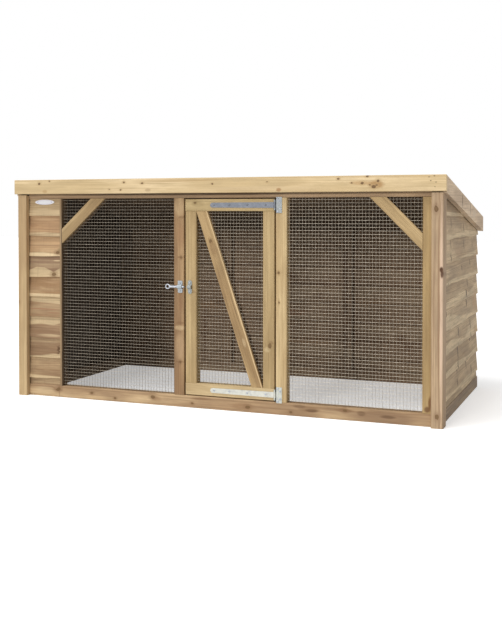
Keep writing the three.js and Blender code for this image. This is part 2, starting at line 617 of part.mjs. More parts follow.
// ------------------------------------------------------------------ sliding bolt
// A bent strip that bridges the bolt, with a screwed foot above and below. The bolt's axis is at 0, 0.
function bridgeStrip(width, height, corner) {
  const outer = bridge + STRIP;
  const half = height / 2;
  const bend = bridge - BEND;
  const quarter = Math.PI / 2;
  const shape = new THREE.Shape();
  shape.moveTo(bridge, -half);
  shape.lineTo(bridge, -bridge);
  shape.absarc(-bend, -bend, BEND, -quarter, -2 * quarter, true);
  shape.absarc(-bend, bend, BEND, 2 * quarter, quarter, true);
  shape.lineTo(bridge, bridge);
  shape.lineTo(bridge, half);
  shape.lineTo(bridge - STRIP, half);
  shape.lineTo(bridge - STRIP, outer);
  shape.absarc(-bend, bend, BEND + STRIP, quarter, 2 * quarter, false);
  shape.absarc(-bend, -bend, BEND + STRIP, 2 * quarter, 3 * quarter, false);
  shape.lineTo(bridge - STRIP, -outer);
  shape.lineTo(bridge - STRIP, -half);
  const strip = alongX(shape, 0, width, 4);

  const face = new THREE.Shape();
  face.absarc(width - corner, half - corner, corner, 0, Math.PI / 2, false);
  face.absarc(corner, half - corner, corner, Math.PI / 2, Math.PI, false);
  face.absarc(corner, corner - half, corner, Math.PI, 3 * Math.PI / 2, false);
  face.absarc(width - corner, corner - half, corner, 3 * Math.PI / 2, 2 * Math.PI, false);
  const rounded = common(strip, alongY(face, -2 * outer, 2 * outer, 4));
  const holeHeight = (half + outer) / 2;
  return cut(rounded, screwHole(width / 2, bridge, holeHeight), screwHole(width / 2, bridge, -holeHeight));
}

function slidingBolt(run, doorGroup) {
  const bracket = bridgeStrip(BRACKET_WIDTH, BRACKET_HEIGHT, BRACKET_CORNER);
  piece(run, 'bolt_bracket', bracket.translate(bracketLeft, boltY, boltHeight), zinc);
  const keep = bridgeStrip(KEEP_WIDTH, KEEP_HEIGHT, KEEP_WIDTH / 2 - FIT);
  piece(doorGroup, 'bolt_keep', keep.translate(keepLeft, boltY, boltHeight), zinc);

  const shankLeft = ringCentre + RING_RADIUS;
  const along = (x0, x1, tipRadius) =>
    new THREE.CylinderGeometry(tipRadius, BOLT_RADIUS, x1 - x0, 14).rotateZ(-Math.PI / 2)
      .translate((x0 + x1) / 2, 0, 0);
  const shank = along(shankLeft, boltTip - BOLT_POINT, BOLT_RADIUS);
  const point = along(boltTip - BOLT_POINT, boltTip, BOLT_RADIUS - BOLT_POINT / 2);
  const ring = new THREE.TorusGeometry(RING_RADIUS, RING_WIRE, 8, 20).rotateX(Math.PI / 2)
    .translate(ringCentre, 0, 0);
  piece(run, 'slide_bolt', join(shank, point, ring).translate(0, boltY, boltHeight), zinc);
}

// ------------------------------------------------------------------ assembly
const run = new THREE.Group();
cornerPosts(run);
frontRails(run);
frontUprights(run);
bays(run);
shelterBoards(run);
sideWalls(run);
backWall(run);
roof(run);
const doorGroup = door(run);
hinges(run, doorGroup);
slidingBolt(run, doorGroup);

const object = new THREE.Group();
run.position.set(-WIDTH / 2, -(DEPTH + BACK_OVERHANG - FRONT_OVERHANG) / 2, 0);
object.add(run);

export default object;
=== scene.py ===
"""Looks of the outdoor rabbit run: timber, weld mesh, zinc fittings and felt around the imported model."""

import math
import random

import bpy
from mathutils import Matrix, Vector


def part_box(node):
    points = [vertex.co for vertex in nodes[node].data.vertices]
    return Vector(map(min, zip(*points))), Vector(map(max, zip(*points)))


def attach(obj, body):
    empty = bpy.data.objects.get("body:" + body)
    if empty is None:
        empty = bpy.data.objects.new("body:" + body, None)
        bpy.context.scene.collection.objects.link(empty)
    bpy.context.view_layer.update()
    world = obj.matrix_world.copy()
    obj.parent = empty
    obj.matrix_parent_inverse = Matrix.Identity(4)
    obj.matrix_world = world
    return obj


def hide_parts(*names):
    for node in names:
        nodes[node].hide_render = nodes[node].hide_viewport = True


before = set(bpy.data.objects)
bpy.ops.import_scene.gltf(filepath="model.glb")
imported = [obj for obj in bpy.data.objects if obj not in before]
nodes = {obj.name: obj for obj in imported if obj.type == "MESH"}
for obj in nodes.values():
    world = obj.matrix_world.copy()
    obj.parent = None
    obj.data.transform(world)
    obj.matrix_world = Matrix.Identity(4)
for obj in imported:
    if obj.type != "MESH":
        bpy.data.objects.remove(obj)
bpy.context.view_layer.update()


# ------------------------------------------------------------------ shader sums
class Shade:
    """One output of a shader node, so that sums and comparisons can be written with it."""

    def __init__(self, finish, socket):
        self.finish, self.socket = finish, socket

    def also(self, output):
        """Another output of the same node."""
        return Shade(self.finish, self.socket.node.outputs[output])

    def sum(self, operation, *others):
        return self.finish.node("Math", {"operation": operation}, *others)

    def __add__(self, other):
        return self.sum("ADD", self, other)

    def __radd__(self, other):
        return self.sum("ADD", other, self)

    def __sub__(self, other):
        return self.sum("SUBTRACT", self, other)

    def __rsub__(self, other):
        return self.sum("SUBTRACT", other, self)

    def __mul__(self, other):
        return self.sum("MULTIPLY", self, other)

    def __rmul__(self, other):
        return self.sum("MULTIPLY", other, self)

    def __truediv__(self, other):
        return self.sum("DIVIDE", self, other)

    def __abs__(self):
        return self.sum("ABSOLUTE", self)

    def root(self):
        return self.sum("SQRT", self)

    def fraction(self):
        return self.sum("FRACT", self)

    def most(self, other):
        return self.sum("MAXIMUM", self, other)

    def fade(self, low, high, start=0.0, end=1.0):
        """start below low, end above high, and a smooth change between."""
        return self.finish.node(
            "MapRange", {"interpolation_type": "SMOOTHSTEP"}, self, low, high, start, end)


class Finish:
    """A node tree. node() adds any node: its type, its settings, then the values or links of its sockets."""

    def __init__(self, owner, output="OutputMaterial"):
        owner.use_nodes = True
        self.owner, self.tree = owner, owner.node_tree
        self.tree.nodes.clear()
        self.surface = self.tree.nodes.new("ShaderNode" + output).inputs["Surface"]

    def node(self, kind, settings=None, *values, out=0, **named):
        made = self.tree.nodes.new("ShaderNode" + kind)
        for name, value in (settings or {}).items():
            if name == "stops":
                while len(made.color_ramp.elements) < len(value):
                    made.color_ramp.elements.new(1.0)
                for element, (position, grey) in zip(made.color_ramp.elements, value):
                    element.position, element.color = position, (grey, grey, grey, 1.0)
            else:
                setattr(made, name, value)
        shown = [socket for socket in made.inputs if socket.enabled]
        pairs = list(zip(shown, values))
        for name, value in named.items():
            wanted = name.replace("_", " ")
            pairs.append((next(socket for socket in shown if socket.name == wanted), value))
        for socket, value in pairs:
            if isinstance(value, Shade):
                self.tree.links.new(value.socket, socket)
            else:
                socket.default_value = value
        outputs = [socket for socket in made.outputs if socket.enabled]
        return Shade(self, outputs[out] if isinstance(out, int) else made.outputs[out])

    def mix(self, share, first, second, blend="MIX"):
        return self.node("Mix", {"data_type": "RGBA", "blend_type": blend}, share, first, second)

    def vector(self, x, y, z):
        return self.node("CombineXYZ", None, x, y, z)

    def noise(self, place, scale=1.0, detail=2.0, roughness=0.5):
        return self.node("TexNoise", None, place, scale, detail, roughness)

    def parts(self, vector):
        x = self.node("SeparateXYZ", None, vector)
        return x, x.also(1), x.also(2)

    def object_place(self):
        return self.node("TexCoord", out="Object")

    def close(self, shader):
        self.tree.links.new(shader.socket, self.surface)
        return self.owner


def finish(name):
    return Finish(bpy.data.materials.new(name))


def tone(red, green, blue):
    """A colour as a screen shows it, 0 to 255."""
    def linear(part):
        part /= 255
        return part / 12.92 if part <= 0.04045 else ((part + 0.055) / 1.055) ** 2.4
    return (linear(red), linear(green), linear(blue), 1.0)


def dress(name, material):
    """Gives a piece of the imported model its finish."""
    for slot in nodes[name].material_slots:
        slot.material = material


# ------------------------------------------------------------------ timber
KNOT_CORE, KNOT_RIM, GREY_KNOT = tone(110, 82, 48), tone(88, 62, 36), tone(84, 62, 44)
AXES = "xyz"
RINGS_PER_METRE = 300.0
KNOT_LENGTH = 1.45                # a knot's length along the grain over its width
GRAIN_BENDS, RIM_SHOWS = 0.0045, 0.0075   # knots of a larger radius push the grain aside, and have a dark rim


def timber(
    name, grain, face, heart, sap, late, seed, streaks=0.5, bands=0.5, knots=(), marks=(), stray=0.0,
    pale=None, lean=0.0, sawn=0.0, patchy=0.5, shade=None, marks_inside=False, knot=KNOT_CORE, roughness=0.74,
):
    """Dresses one piece in softwood, its grain along one axis and its broad face across another.

    heart, sap and late are the core wood, the pale outer wood and the dark side of the growth rings.
    knots are (along, across, radius) and marks are (along, across, half length, half width, tone, share),
    both in the row's metres, or from the middle of a leaning piece. stray is the share of the wood that has
    small knots of its own. pale is (side, points): sapwood above (1) or below (-1) a line through the points.
    lean turns a slanting piece upright. shade is (axis, sign, tone, share): painted shade, a tone laid over the faces
    turned that way, such as the inner faces of the walls, and marks_inside keeps the marks on those faces. knot is
    the tone of a knot's heart. streaks, bands, patchy and sawn say how strong the fine streaks, the bands of core
    and outer wood, the light and dark patches and the saw's marks are.
    """
    low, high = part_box(name)
    middle = (low + high) / 2
    f = finish(f"{name}_pine")
    raw = f.object_place()
    local = f.node("Mapping", {"vector_type": "TEXTURE"}, raw, middle, (0.0, lean, 0.0))
    parts = f.parts(local)
    along, across = AXES.index(grain), AXES.index(face)
    deep = 3 - along - across
    u, v, w = parts[along], parts[across], parts[deep]
    origin = (0.0, 0.0) if lean else (middle[along], middle[across])
    width, depth = high[across] - low[across], high[deep] - low[deep]
    rng = random.Random(seed)
    shift = [rng.uniform(-9, 9) for _ in range(4)]

    # Four noises drawn out along the grain, from broad clouds down to single fibres.
    cloud = f.noise(f.vector(u * 1.7 + shift[0], v * 13.0 + shift[1], w * 13.0), 1.0, 2.0)
    patch = f.noise(f.vector(u * 7.0 + shift[1], v * 42.0, w * 42.0 + shift[2]), 1.0, 3.0, 0.6)
    streak = f.noise(f.vector(u * 3.5 + shift[2], v * 165.0, w * 165.0 + shift[0]), 1.0, 2.0, 0.6)
    fibre = f.noise(f.vector(u * 16.0, v * 620.0 + shift[3], w * 620.0), 1.0, 2.0, 0.6)
    rough_edge = (patch - 0.5) * 0.006
    ragged = (streak - 0.5) * (0.035 if sawn else 0.006)
    flat = f.vector((u + rough_edge * 1.6) / KNOT_LENGTH, v + rough_edge + (streak - 0.5) * 0.009, 0.0)

    # Knots push the grain aside; each has a brown heart, a dark rim and a tanned halo.
    bend = (cloud - 0.5) * 0.022
    core = rim = halo = None
    for place_u, place_v, radius in knots:
        ku, kv = place_u - origin[0], place_v - origin[1]
        reach = f.node("VectorMath", {"operation": "DISTANCE"}, flat, (ku / KNOT_LENGTH, kv, 0.0), out="Value")
        inside = reach.fade(radius * 0.85, radius * 1.1, 1.0, 0.0)
        edge = reach.fade(radius * 0.45, radius * 0.9) * inside
        around = reach.fade(radius, radius * 3.6, 1.0, 0.0)
        if radius > GRAIN_BENDS:
            bend = bend + around * (kv - v).fade(-radius * 2, radius * 2, -1.0, 1.0) * (radius * 1.1)
        core = inside if core is None else core.most(inside)
        if radius > RIM_SHOWS:
            rim = edge if rim is None else rim.most(edge)
        halo = around if halo is None else halo.most(around)
    if stray:
        cells = f.vector((u + shift[2]) * 7.0, (v + rough_edge) * 11.0, shift[0])
        point = f.node("TexVoronoi", {"voronoi_dimensions": "2D"}, cells, 1.0)
        chosen = f.node("SeparateColor", None, point.also("Color")).fade(1.0 - stray, 1.01 - stray)
        inside = point.fade(0.045, 0.075, 1.0, 0.0) * chosen
        around = point.fade(0.07, 0.26, 1.0, 0.0) * chosen
        core = inside if core is None else core.most(inside)
        halo = around if halo is None else halo.most(around)
        bend = bend + around * 0.008

    # Growth rings round a pith that lies behind the face and drifts along the piece.
    drift = f.noise(f.vector(u * 0.8 + shift[3], 0.0, 0.0), 1.0, 1.0)
    from_pith_v = v + bend + (drift - 0.5) * (0.5 * width) + rng.uniform(-0.5, 0.5) * width
    from_pith_w = w - (depth / 2 + rng.uniform(0.012, 0.03))
    rings = ((from_pith_v * from_pith_v + from_pith_w * from_pith_w).root() * RINGS_PER_METRE + cloud).fraction()
    lines = rings.fade(0.35, 0.9) * rings.fade(0.93, 1.0, 1.0, 0.0)

    # Core wood and outer wood, then the dark late wood, the saw's marks, light patches, and the marks over them:
    # stains and cracks, and on some pieces painted shadows and highlights.
    sapwood = (cloud + (patch - 0.5) * 0.35).fade(0.55 - 0.22 * bands, 0.55 + 0.22 * bands)
    if pale:
        side, points = pale
        u0, u1 = points[0][0], points[-1][0]
        v0 = min(point[1] for point in points) - 0.001
        v1 = max(point[1] for point in points) + 0.001
        stops = [((a - u0) / (u1 - u0), (b - v0) / (v1 - v0)) for a, b in points]
        share = f.node("MapRange", None, u, u0 - origin[0], u1 - origin[0])
        line = f.node("ValToRGB", {"stops": stops}, share)
        border = f.node("SeparateColor", None, line) * (v1 - v0) + (v0 - origin[1]) + (fibre - 0.5) * 0.003
        beyond = ((v - border) * side).fade(-0.0022, 0.0022)
        sapwood = (sapwood * 0.4).most(beyond)
    colour = f.mix(sapwood, heart, sap)
    colour = f.mix(lines * (streaks * 0.6), colour, late)
    colour = f.mix(streak.fade(0.45, 0.75) * (streaks * 0.55), colour, late)
    colour = f.mix(fibre.fade(0.42, 0.78) * (streaks * 0.3), colour, late)
    if sawn:
        cuts = f.noise(f.vector(u * 190.0, v * 9.0, w * 9.0 + shift[2]), 1.0, 1.0)
        colour = f.mix(cuts.fade(0.5, 0.8) * (0.25 * sawn), colour, late)
    light = (patch - 0.5) * (0.7 * patchy) + (cloud - 0.5) * (0.5 * patchy) + (0.6 - streak) * 0.22 + 1.0
    colour = f.mix(1.0, colour, light, "MULTIPLY")
    unlit = None
    # Painted shade: faces turned along the shade axis are mixed towards the shade tone.
    if shade:
        axis, sign, gloom, gloom_share = shade
        unlit = (f.parts(f.node("TexCoord", out="Normal"))[AXES.index(axis)] * sign).fade(0.5, 0.8)
    # Marks: stains and cracks, and, where a piece lists them, painted shadows and highlights.
    for place_u, place_v, half_u, half_v, stain, share in marks:
        ku, kv = place_u - origin[0], place_v - origin[1]
        spot = f.vector((u + ragged - ku) / half_u, (v + rough_edge * 0.8 - kv) / half_v, 0.0)
        near = f.node("VectorMath", {"operation": "LENGTH"}, spot, out="Value").fade(0.45, 1.1, 1.0, 0.0)
        cover = patch.fade(0.3, 0.55, 0.6, 1.0) * share
        colour = f.mix(near * (cover * unlit if marks_inside else cover), colour, stain)
    if halo is not None:
        colour = f.mix(halo * halo * 0.5, colour, late)
        colour = f.mix(core * 0.8, colour, knot)
    if rim is not None:
        colour = f.mix(rim * 0.45, colour, KNOT_RIM)
    # The painted shade goes over everything else.
    if shade:
        colour = f.mix(unlit * gloom_share, colour, gloom)

    relief = lines * -0.4 + fibre * 0.5 + patch * 0.4
    bump = f.node("Bump", None, 0.2 + 0.25 * sawn, 0.001, Height=relief)
    wear = patch * 0.14 + (roughness - 0.07)
    dress(name, f.close(f.node(
        "BsdfPrincipled", None, Base_Color=colour, Roughness=wear, Normal=bump, IOR=1.45)))


# ------------------------------------------------------------------ metal, felt, enamel
def zinc(name, seed, dull=0.0, bright=tone(206, 210, 214), dim=tone(176, 180, 188), fold=None):
    """Zinc plate: faint spangle, haze where it has been handled, fine scratches, painted shade in an upright fold."""
    f = finish(name)
    place = f.object_place()
    spangle = f.node("TexVoronoi", None, place, 150.0 + seed, out="Color")
    grain = f.node("SeparateColor", None, spangle)
    haze = f.noise(place, 42.0, 3.0, 0.6)
    scratch = f.noise(place, 1100.0, 2.0)
    colour = f.mix(grain * 0.4, dim, bright)
    colour = f.mix(haze.fade(0.45, 0.75) * (0.4 + dull), colour, tone(140, 142, 150))
    # Painted shade: a dark line where the leaf turns into its knuckle.
    if fold:
        fold_shade = abs(f.parts(place)[0] - fold).fade(0.0006, 0.0022, 1.0, 0.0)
        colour = f.mix(fold_shade * 0.85, colour, tone(44, 52, 60))
    wear = grain * 0.1 + haze * 0.16 + (0.26 + dull)
    bump = f.node("Bump", None, 0.15, 0.0004, Height=scratch + haze * 2.0)
    return f.close(f.node(
        "BsdfPrincipled", None, Base_Color=colour, Metallic=0.8, Roughness=wear, Normal=bump))


def galvanised(name, middle, darkening):
    """Weld mesh wire, dull from the zinc bath; the uprights, behind the middle of the mesh, take painted shade, and
    darkening makes a panel's wires darker.
    """
    f = finish(name)
    place = f.object_place()
    haze = f.noise(place, 60.0, 3.0, 0.6)
    behind = (f.parts(place)[1] - middle).fade(-0.0001, 0.0001)
    colour = f.mix(haze.fade(0.35, 0.7), tone(196, 185, 166), tone(234, 223, 204))
    # Painted shade on the uprights behind the mesh's middle, and each panel's own darkening.
    colour = f.mix(behind * 0.62 + darkening, colour, tone(90, 78, 64))
    return f.close(f.node(
        "BsdfPrincipled", None, Base_Color=colour, Metallic=0.3, Roughness=haze * 0.2 + 0.45))


def mineral_felt(name):
    """Roofing felt: grey-green slate grains on bitumen, lapped once along the roof."""
    f = finish(name)
    place = f.object_place()
    back = f.parts(place)[1]
    grains = f.node("SeparateColor", None, f.node("TexVoronoi", None, place, 700.0, out="Color"))
    cloud = f.noise(place, 3.0, 4.0, 0.6)
    colour = f.mix(grains, tone(58, 66, 60), tone(112, 122, 112))
    colour = f.mix(cloud.fade(0.4, 0.7) * 0.4, colour, tone(84, 88, 82))
    lap = abs(back + (cloud - 0.5) * 0.004 + 0.02).fade(0.0015, 0.005, 1.0, 0.0)
    colour = f.mix(lap * 0.8, colour, tone(34, 36, 34))
    bump = f.node("Bump", None, 0.6, 0.0015, Height=grains - lap)
    return f.close(f.node(
        "BsdfPrincipled", None, Base_Color=colour, Roughness=grains * 0.1 + 0.85, Normal=bump))


def enamel(name, centre, half):
    """The blank oval plate: white enamel with a thin lilac line inside its edge."""
    f = finish(name)
    place = f.object_place()
    haze = f.noise(place, 120.0)
    x, _, z = f.parts(place)
    oval = f.vector((x - centre[0]) / half[0], (z - centre[1]) / half[1], 0.0)
    out = f.node("VectorMath", {"operation": "LENGTH"}, oval, out="Value")
    line = abs(out - 0.74).fade(0.02, 0.05, 1.0, 0.0)
    colour = f.mix(haze, tone(244, 243, 244), tone(232, 232, 236))
    colour = f.mix(line * 0.7, colour, tone(176, 166, 206))
    return f.close(f.node(
        "BsdfPrincipled", None, Base_Color=colour, Roughness=haze * 0.1 + 0.25, Coat_Weight=0.3))


# ------------------------------------------------------------------ the front frame
BROWN, DARK, CREAM = tone(120, 86, 54), tone(72, 46, 28), tone(222, 196, 154)
POST = dict(heart=tone(186, 156, 116), sap=tone(204, 178, 134), late=tone(154, 122, 84))
ROOF = dict(heart=tone(216, 190, 144), sap=tone(234, 210, 168), late=tone(190, 160, 114))
DOOR = dict(heart=tone(176, 149, 105), sap=tone(198, 172, 126), late=tone(150, 124, 82))

timber("front_post_left", "z", "x", **POST, seed=1, streaks=0.4, bands=0.8, patchy=0.4,
       knots=[(0.395, -0.897, 0.006)])
timber("front_post_right", "z", "x", tone(184, 157, 125), tone(204, 177, 141), tone(146, 116, 88), seed=2,
       # Painted shade on the post's right side face.
       shade=("x", 1, tone(96, 74, 54), 0.35),
       streaks=0.9, bands=0.6, patchy=0.7,
       knots=[(0.7866, 0.8728, 0.008), (0.0431, 0.8794, 0.007)],
       marks=[(0.8045, 0.8727, 0.008, 0.003, BROWN, 0.7),
              # A pale strip at the outer corner: a painted highlight on the rounded edge.
              (0.43, 0.8935, 0.46, 0.0075, tone(224, 194, 166), 0.95),
              (0.45, 0.884, 0.42, 0.0035, tone(140, 104, 76), 0.6),
              (0.40, 0.866, 0.40, 0.0022, tone(146, 112, 82), 0.5),
              (0.570, 0.8925, 0.013, 0.0075, tone(80, 48, 26), 1.0),
              (0.554, 0.8945, 0.017, 0.0065, tone(80, 48, 26), 1.0)])
# The dark line along the stud's edge beside the opening is painted shade.
timber("shelter_stud", "z", "x", tone(146, 121, 90), tone(166, 140, 106), tone(112, 86, 58), seed=3, streaks=0.6,
       marks=[(0.42, -0.6955, 0.6, 0.0022, tone(60, 44, 28), 0.9)])
timber("latch_post", "z", "x", tone(154, 121, 86), tone(178, 146, 106), tone(126, 94, 62), seed=4,
       streaks=0.6, bands=0.7, patchy=0.8,
       knots=[(0.5955, -0.143, 0.004), (0.18, -0.148, 0.004)],
       marks=[(0.80, -0.150, 0.05, 0.03, tone(200, 170, 128), 0.75), (0.755, -0.140, 0.006, 0.02, BROWN, 0.5),
              (0.68, -0.145, 0.06, 0.02, tone(160, 122, 86), 0.6), (0.5955, -0.148, 0.004, 0.018, BROWN, 0.7),
              (0.43, -0.145, 0.06, 0.014, tone(138, 102, 70), 0.6),
              (0.315, -0.150, 0.012, 0.026, tone(206, 178, 136), 0.8),
              (0.335, -0.146, 0.006, 0.022, BROWN, 0.5), (0.24, -0.15, 0.07, 0.026, tone(198, 166, 126), 0.6),
              (0.18, -0.152, 0.004, 0.024, BROWN, 0.7)])
timber("hinge_post", "z", "x", tone(198, 170, 124), tone(214, 188, 142), tone(158, 128, 86), seed=5,
       streaks=0.45, patchy=0.5, knots=[(0.5435, 0.2681, 0.004), (0.43, 0.270, 0.0025)],
       marks=[(0.5435, 0.262, 0.006, 0.012, BROWN, 0.5), (0.43, 0.270, 0.02, 0.004, BROWN, 0.3)])
timber("end_stile", "z", "x", tone(168, 140, 96), tone(186, 158, 110), tone(146, 116, 74), seed=6, streaks=0.4,
       bands=0.6, patchy=0.35,
       marks=[(0.115, 0.857, 0.04, 0.006, tone(126, 88, 48), 0.8),
              (0.085, 0.850, 0.03, 0.008, tone(116, 78, 42), 0.85),
              (0.062, 0.840, 0.014, 0.014, tone(110, 74, 42), 0.85)])
timber("front_bottom_rail", "x", "z", tone(176, 145, 110), tone(202, 174, 134), tone(136, 104, 72), seed=7,
       streaks=0.7, bands=0.6, patchy=0.9, stray=0.08,
       knots=[(-0.7109, 0.036, 0.006), (-0.5527, 0.0279, 0.005), (-0.4445, 0.0132, 0.004),
              (-0.2693, 0.0319, 0.007), (-0.0962, 0.0167, 0.004), (0.1417, 0.0196, 0.0065),
              (0.319, 0.0133, 0.004), (0.5315, 0.036, 0.006)],
       marks=[(-0.78, 0.024, 0.06, 0.018, tone(210, 184, 144), 0.6), (-0.71, 0.024, 0.004, 0.03, BROWN, 0.45),
              (-0.255, 0.024, 0.03, 0.012, tone(150, 116, 82), 0.6), (-0.06, 0.038, 0.05, 0.006, BROWN, 0.55),
              (0.12, 0.022, 0.06, 0.016, tone(150, 116, 82), 0.6), (0.39, 0.03, 0.05, 0.012, BROWN, 0.5),
              (0.53, 0.036, 0.045, 0.008, BROWN, 0.6), (0.68, 0.018, 0.16, 0.03, tone(132, 102, 76), 0.7),
              (0.36, 0.012, 0.10, 0.016, tone(140, 110, 80), 0.6),
              (0.352, 0.038, 0.032, 0.007, tone(100, 72, 46), 0.7),
              (0.402, 0.026, 0.032, 0.007, tone(96, 68, 44), 0.75),
              (0.595, 0.03, 0.02, 0.011, tone(106, 78, 52), 0.7),
              (0.695, 0.024, 0.035, 0.008, tone(102, 74, 50), 0.75)])
# The top rail's darker tones are partly its own brown and partly painted shade under the fascia; the dark line along
# its top is a painted shadow of the fascia.
timber("front_top_rail", "x", "z", tone(166, 138, 106), tone(184, 156, 122), tone(132, 102, 72), seed=8, streaks=0.5,
       patchy=0.7, marks=[(0.0, 0.846, 0.86, 0.006, tone(60, 42, 26), 0.75)])
timber("front_fascia", "x", "z", **ROOF, seed=9, streaks=0.6, bands=0.8, patchy=0.55,
       knots=[(-0.787, 0.894, 0.004), (-0.7365, 0.904, 0.003), (-0.385, 0.8964, 0.0035), (-0.303, 0.891, 0.004),
              (-0.453, 0.868, 0.0028), (-0.401, 0.866, 0.0028), (0.003, 0.884, 0.003), (0.2305, 0.889, 0.0025),
              (0.512, 0.898, 0.0035), (0.603, 0.881, 0.0045), (0.623, 0.907, 0.0038), (0.646, 0.868, 0.0058),
              (0.663, 0.890, 0.004), (0.563, 0.882, 0.003), (0.657, 0.874, 0.003), (0.632, 0.875, 0.0028)],
       knot=tone(92, 62, 34),
       marks=[(-0.76, 0.861, 0.014, 0.008, tone(178, 138, 90), 0.5), (-0.277, 0.863, 0.016, 0.008, BROWN, 0.35),
              (0.655, 0.876, 0.035, 0.018, tone(172, 130, 80), 0.85),
              (0.60, 0.882, 0.05, 0.010, tone(188, 148, 98), 0.6), (0.22, 0.866, 0.3, 0.010, CREAM, 0.5),
              (0.278, 0.860, 0.012, 0.009, tone(160, 112, 68), 0.7),
              (0.848, 0.901, 0.004, 0.0025, DARK, 0.8), (0.867, 0.9045, 0.004, 0.0025, DARK, 0.8),
              (0.8545, 0.888, 0.003, 0.003, DARK, 0.8), (0.8734, 0.882, 0.004, 0.0025, DARK, 0.8),
              (0.8703, 0.866, 0.003, 0.0025, DARK, 0.7), (-0.15, 0.9, 0.25, 0.006, tone(190, 158, 112), 0.5)])
for side, seed in (("left", 10), ("right", 11)):
    timber(f"barge_board_{side}", "y", "z", tone(200, 176, 148), tone(224, 202, 172), tone(156, 130, 104),
           seed=seed, streaks=0.7, bands=0.7, patchy=0.8,
           marks=[(-0.10, 0.82, 0.009, 0.032, tone(76, 54, 38), 0.9),
                  (0.09, 0.79, 0.008, 0.030, tone(84, 60, 42), 0.75),
                  (0.2, 0.77, 0.05, 0.02, tone(206, 188, 166), 0.5)])

# Slanting braces, each with its lean in radians, and with its backing half behind the mesh.
BRACES = {
    "corner_brace_left": (0.83, dict(heart=tone(176, 148, 106), sap=tone(196, 170, 126), late=tone(146, 116, 76))),
    "corner_brace_right": (-0.79, dict(heart=tone(190, 162, 116), sap=tone(212, 186, 140), late=tone(156, 126, 86))),
    "door_brace": (-0.33, dict(heart=tone(168, 138, 97), sap=tone(192, 163, 117), late=tone(126, 95, 59))),
}
BRACE_KNOTS = {"door_brace": [(0.237, -0.002, 0.005)]}
BRACE_MARKS = {"door_brace": [
    # A pale line along the brace's right edge: a painted highlight.
    (0.0, 0.0195, 0.6, 0.0035, tone(228, 198, 152), 0.9), (0.205, 0.0, 0.035, 0.02, BROWN, 0.4),
    (-0.05, 0.010, 0.09, 0.0022, DARK, 0.6), (-0.18, 0.004, 0.022, 0.008, CREAM, 0.4),
]}
for number, (name, (lean, tones)) in enumerate(BRACES.items()):
    timber(name, "z", "x", **tones, seed=20 + number, lean=lean, streaks=0.7, bands=0.8, patchy=0.7,
           knots=BRACE_KNOTS.get(name, ()), marks=BRACE_MARKS.get(name, ()))
    # The backing's darker tones are painted shade behind the mesh.
    timber(f"{name}_backing", "z", "x", tone(110, 86, 60), tone(130, 104, 76), tone(70, 52, 34),
           seed=25 + number, lean=lean, streaks=0.6)

# ------------------------------------------------------------------ the door
timber("door_latch_stile", "z", "x", **DOOR, seed=30, streaks=0.5, bands=0.7, patchy=0.4,
       marks=[(0.40, -0.116, 0.38, 0.005, tone(196, 170, 122), 0.5), (0.46, -0.09, 0.008, 0.014, BROWN, 0.3)])
timber("door_hinge_stile", "z", "x", **DOOR, seed=31, streaks=0.5, bands=0.7, patchy=0.45,
       knots=[(0.262, 0.2335, 0.007)],
       marks=[(0.247, 0.222, 0.012, 0.016, tone(210, 186, 142), 0.7), (0.275, 0.238, 0.008, 0.012, BROWN, 0.5)])
timber("door_top_rail", "x", "z", tone(196, 171, 124), tone(218, 194, 146), tone(168, 144, 98), seed=32,
       streaks=0.5, patchy=0.5, knots=[(-0.082, 0.812, 0.0045)],
       marks=[(-0.07, 0.806, 0.035, 0.014, tone(154, 130, 88), 0.4)])
timber("door_bottom_rail", "x", "z", tone(190, 164, 122), tone(208, 184, 140), tone(164, 136, 94), seed=33,
       streaks=0.4, patchy=0.4)

# ------------------------------------------------------------------ lap boards of the boarded end
# Each board: its core wood, then the side of a line, 1 above or -1 below, on which its sapwood shows.
L, R = -0.864, -0.705             # the boards' ends
SHELTER = [
    (tone(134, 108, 79), (-1, [(L, 0.03), (R, 0.03)])),
    (tone(158, 128, 94), (-1, [(L, 0.088), (-0.78, 0.086), (R, 0.084)])),
    (tone(148, 118, 87), (-1, [(L, 0.166), (-0.80, 0.170), (-0.74, 0.180), (R, 0.179)])),
    (tone(156, 125, 94), (1, [(L, 0.297), (-0.80, 0.304), (-0.74, 0.299), (R, 0.309)])),
    (tone(162, 130, 96), (1, [(L, 0.399), (-0.80, 0.394), (-0.74, 0.392), (R, 0.388)])),
    (tone(166, 131, 93), (-1, [(L, 0.4325), (-0.78, 0.4315), (R, 0.4315)])),
    (tone(150, 121, 94), (-1, [(L, 0.5277), (-0.820, 0.5448), (-0.782, 0.5424), (-0.737, 0.5240), (R, 0.5409)])),
    (tone(196, 160, 119), (-1, [(L, 0.6035), (-0.790, 0.6068), (-0.729, 0.6000), (R, 0.596)])),
    (tone(186, 149, 110), (-1, [(L, 0.6869), (-0.781, 0.6907), (R, 0.6869)])),
    (tone(194, 168, 128), (-1, [(L, 0.782), (-0.78, 0.790), (R, 0.784)])),
]
SHELTER_KNOTS = {6: [(-0.7331, 0.5145, 0.0075)], 7: [(-0.7176, 0.6047, 0.006)]}
